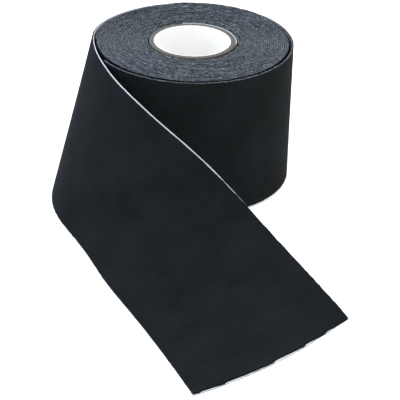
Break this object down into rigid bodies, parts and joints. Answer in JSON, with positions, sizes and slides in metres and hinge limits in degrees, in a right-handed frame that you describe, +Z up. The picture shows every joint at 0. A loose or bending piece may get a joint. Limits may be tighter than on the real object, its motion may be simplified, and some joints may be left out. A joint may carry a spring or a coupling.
{
  "type": "roll of elastic cloth tape",
  "caption": "Roll of black elastic cloth adhesive tape with a white paper liner on a cardboard core, its loose end drawn off and twisting down to lie on the table.",
  "frame": {"origin": "centre of the core's hole, at the lower end of the roll", "axes": "+Z up along the roll's axis; -Y towards the loose end of the tape; the tail leaves the roll on the -X side"},
  "size_m": [0.0945, 0.1919, 0.0506],
  "materials": {
    "elastic_cloth": "black woven elastic cotton, dry and slightly fuzzy",
    "adhesive": "tacky acrylic coat, hazy",
    "release_liner": "white siliconised paper, faint sheen",
    "white_paper": "matt white paper",
    "grey_board": "raw cut chipboard",
    "kraft_paper": "matt brown paper",
    "tissue_tape": "tacky tissue"
  },
  "bodies": {
    "roll": {"core_lining_ply": "white_paper", "core_board_ply": "grey_board", "core_cover_ply": "kraft_paper", "starter_strip": "tissue_tape", "wound_liner": "release_liner", "wound_adhesive": "adhesive", "wound_fabric": "elastic_cloth"},
    "wrap": {"wrap_liner": "release_liner", "wrap_adhesive": "adhesive", "wrap_fabric": "elastic_cloth"},
    "tail": {"tail_liner": "release_liner", "tail_adhesive": "adhesive", "tail_fabric": "elastic_cloth"},
    "tip": {"tip_adhesive": "adhesive", "tip_fabric": "elastic_cloth"}
  },
  "joints": [
    {"name": "unwind", "type": "hinge", "parent": "roll", "child": "wrap", "pos_m": [0, 0, 0.025], "axis": [0, 0, 1], "continuous": true},
    {"name": "tail_swing", "type": "hinge", "parent": "wrap", "child": "tail", "pos_m": [-0.00734, 0.03453, 0.025], "axis": [0, 0, -1], "range_deg": [0, 35]},
    {"name": "tip_peel", "type": "hinge", "parent": "tail", "child": "tip", "pos_m": [0.01502, -0.11703, 0.01213], "axis": [-0.8271, -0.3548, -0.4359], "range_deg": [0, 75]}
  ]
}
